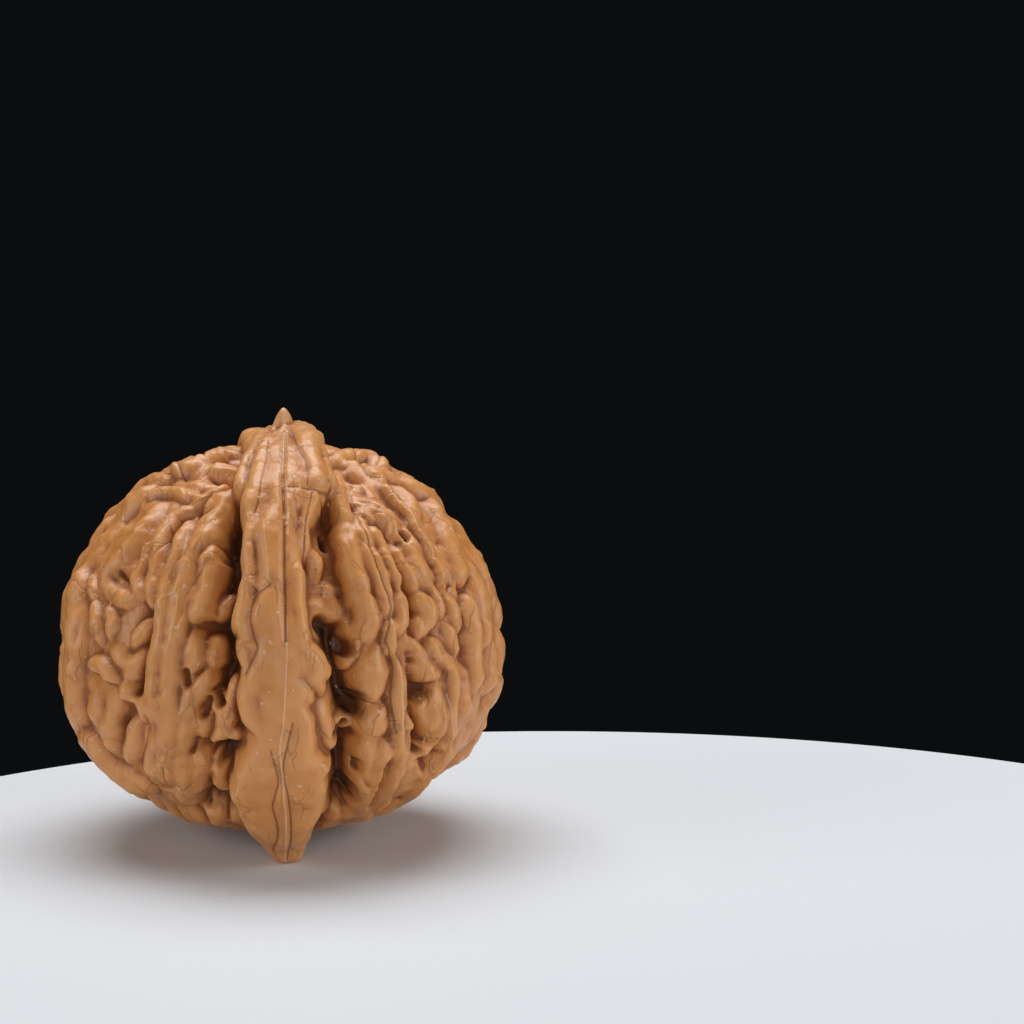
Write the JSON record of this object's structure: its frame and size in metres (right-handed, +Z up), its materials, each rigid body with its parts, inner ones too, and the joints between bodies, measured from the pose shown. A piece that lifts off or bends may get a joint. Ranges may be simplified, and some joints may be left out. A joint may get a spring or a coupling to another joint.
{
  "type": "walnut",
  "caption": "Whole hard-shelled walnut of the kind kept for handling: nearly round, thick seam ridge over a pointed tip, deep grooves and winding lobes, standing on its base.",
  "frame": {"origin": "under the middle of the nut, on the surface it stands on", "axes": "+Z up to the pointed tip, -Y towards the seam ridge that faces the viewer, +X to the viewer's right belly"},
  "size_m": [0.041, 0.0434, 0.0393],
  "materials": {
    "shell": "satin, polished by handling"
  },
  "bodies": {
    "root": {"walnut": "shell"}
  },
  "joints": []
}
